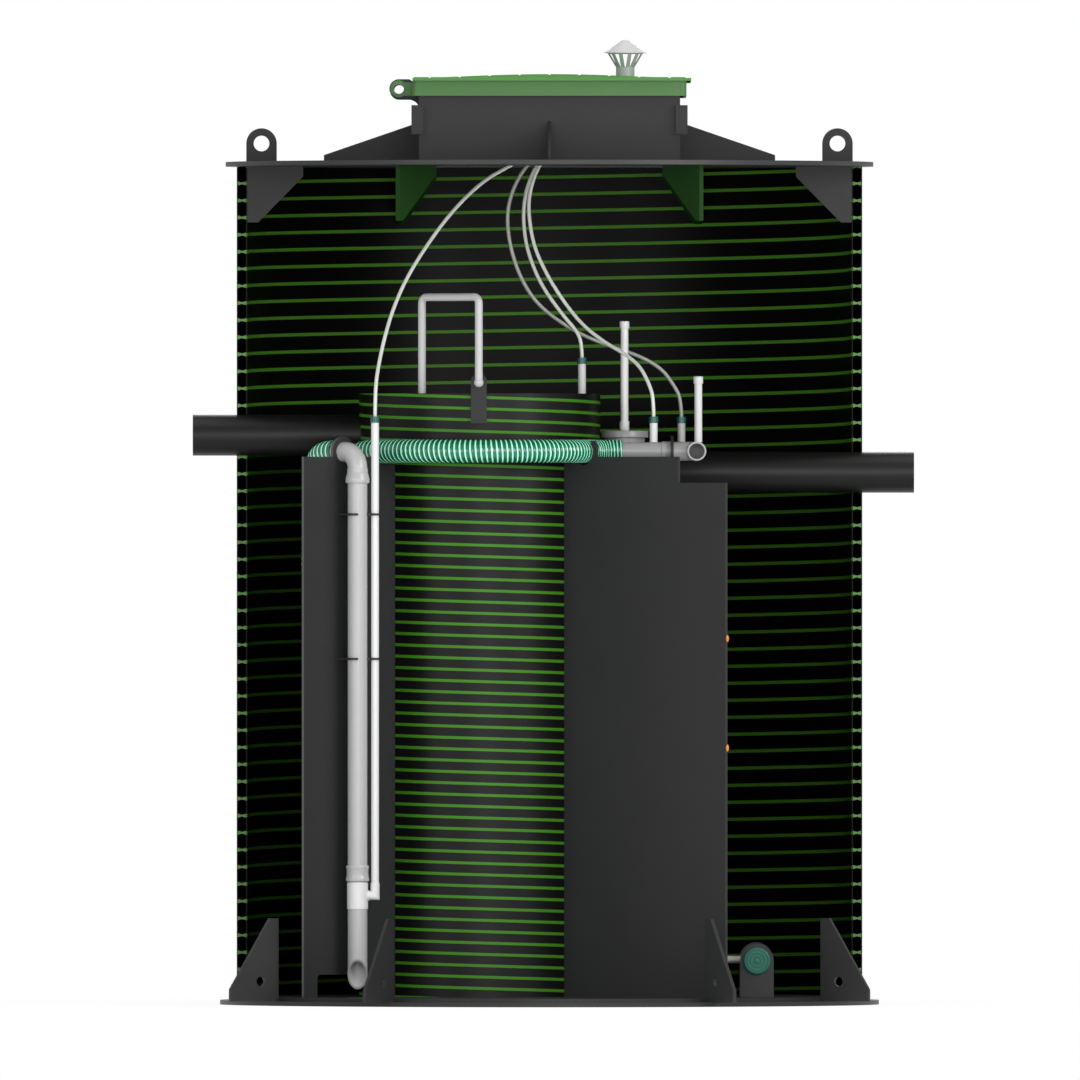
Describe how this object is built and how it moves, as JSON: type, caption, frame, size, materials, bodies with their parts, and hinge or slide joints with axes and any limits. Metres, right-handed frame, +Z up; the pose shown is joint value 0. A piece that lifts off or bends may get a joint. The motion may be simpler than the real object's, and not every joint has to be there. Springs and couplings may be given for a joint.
{
  "type": "packaged sewage treatment plant",
  "caption": "Upright round sewage treatment tank shown cut open, with an inner cylinder, partitions, an airlift, hoses, drain pipes, and a hatch neck with a hinged square lid and vent.",
  "frame": {"origin": "centre of the base plate's underside, on the tank's axis, in the plane of the cut", "axes": "+Z up, +X towards the outlet pipe, +Y towards the uncut back half of the wall"},
  "size_m": [1.937, 1.7698, 2.59],
  "materials": {
    "dark_sheet": "satin",
    "spiral_wall": "satin",
    "lid_green": "satin",
    "bracket_green": "satin",
    "grey_pipe": "gloss",
    "white_pipe": "gloss",
    "black_pipe": "satin",
    "air_hose": "gloss",
    "green_hose": "gloss",
    "teal_plastic": "gloss",
    "steel": "brushed"
  },
  "bodies": {
    "plant": {"air_manifold": "dark_sheet", "airlift_air_hose": "air_hose", "airlift_air_pipe": "white_pipe", "airlift_clips": "dark_sheet", "airlift_elbow": "grey_pipe", "airlift_mixer": "white_pipe", "airlift_pipe": "grey_pipe", "airlift_socket": "grey_pipe", "airlift_suction_pipe": "grey_pipe", "base_gussets": "dark_sheet", "base_plate": "dark_sheet", "capped_risers": "white_pipe", "cylinder_air_hose": "air_hose", "cylinder_air_pipe": "white_pipe", "diffuser_air_hose": "air_hose", "diffuser_feed_pipe": "grey_pipe", "diffuser_plates": "dark_sheet", "diffuser_tube": "teal_plastic", "floor_disc": "dark_sheet", "hinge_tube": "steel", "hose_connectors": "teal_plastic", "inlet_pipe": "black_pipe", "inner_cylinder_1": "spiral_wall", "inner_cylinder_2": "spiral_wall", "inner_cylinder_3": "spiral_wall", "inner_cylinder_4": "spiral_wall", "left_partition": "dark_sheet", "lifting_lugs": "dark_sheet", "lug_brackets": "dark_sheet", "neck_corner_cleats": "dark_sheet", "neck_front_and_back_walls": "dark_sheet", "neck_gussets": "dark_sheet", "neck_hinge_ears": "dark_sheet", "neck_side_walls": "dark_sheet", "outlet_pipe": "black_pipe", "outlet_tee": "grey_pipe", "outlet_tee_cap": "grey_pipe", "over_pipe": "white_pipe", "over_pipe_tab": "dark_sheet", "rear_partition": "dark_sheet", "return_hose": "green_hose", "right_partition": "dark_sheet", "spiral_hose": "green_hose", "tank_wall_1": "spiral_wall", "tank_wall_2": "spiral_wall", "tank_wall_3": "spiral_wall", "tank_wall_4": "spiral_wall", "top_plate": "dark_sheet", "transfer_air_hose": "air_hose", "transfer_elbow": "grey_pipe", "transfer_pipe": "grey_pipe", "transfer_stub": "white_pipe", "wall_brackets": "bracket_green"},
    "lid": {"lid_panel": "lid_green", "lid_hinge_ears": "lid_green", "vent_pipe": "grey_pipe", "vent_cage": "grey_pipe", "vent_cap": "grey_pipe"}
  },
  "joints": [
    {"name": "lid_hinge", "type": "hinge", "parent": "plant", "child": "lid", "pos_m": [-0.404, 0, 2.457], "axis": [0, -1, 0], "range_deg": [0, 110]}
  ]
}
